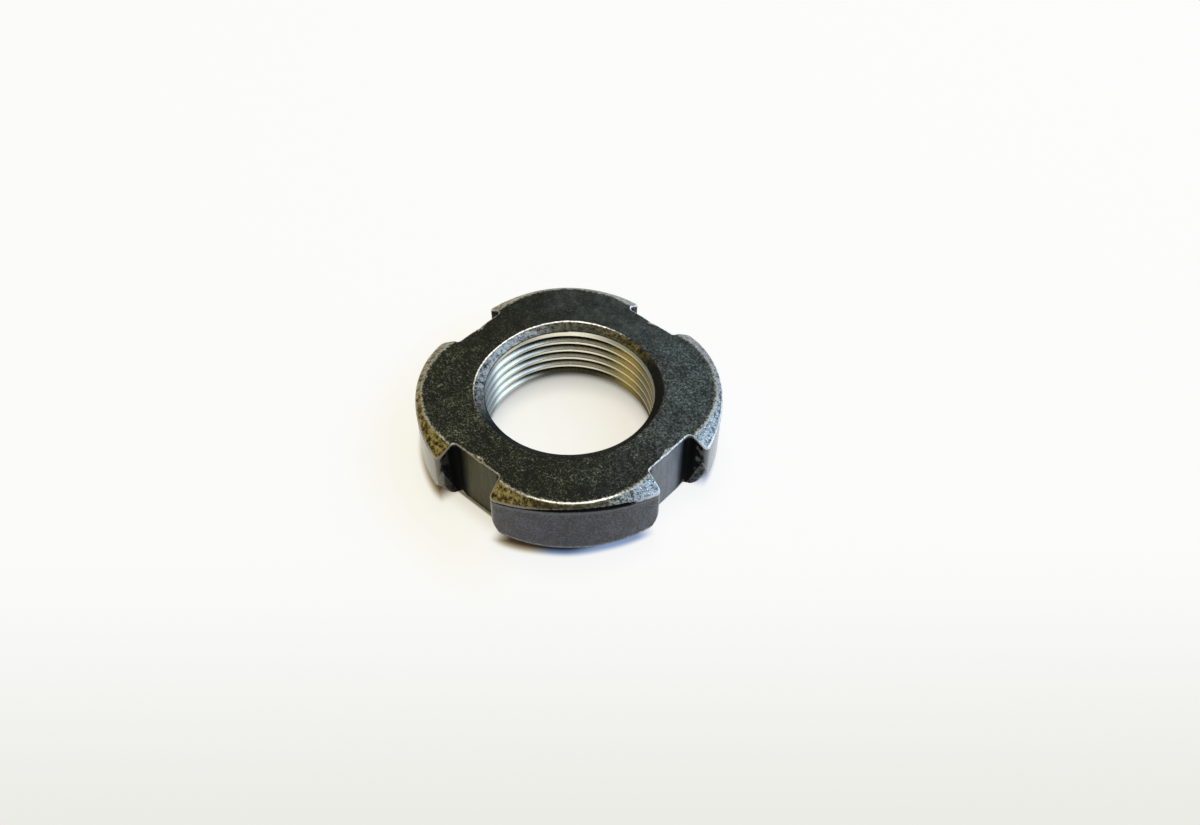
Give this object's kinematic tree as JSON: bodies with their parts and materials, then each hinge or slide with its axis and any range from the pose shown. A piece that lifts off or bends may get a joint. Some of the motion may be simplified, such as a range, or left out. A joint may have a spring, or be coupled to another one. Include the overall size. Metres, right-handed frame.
{
  "type": "slotted round lock nut",
  "caption": "Slotted round steel lock nut with a fine-threaded bore, wide lugs with sloping end reliefs, and spanner slots open at both faces.",
  "frame": {"origin": "on the thread axis, at the lower seating face", "axes": "+Z along the thread axis, up through the upper seating face; +X and +Y each out through the middle of a spanner slot"},
  "size_m": [0.039, 0.039, 0.0096],
  "materials": {
    "phosphated_steel": "dark phosphate, tumbled, with bright worn edges and a bare cut thread"
  },
  "bodies": {
    "root": {"lock_nut": "phosphated_steel"}
  },
  "joints": []
}
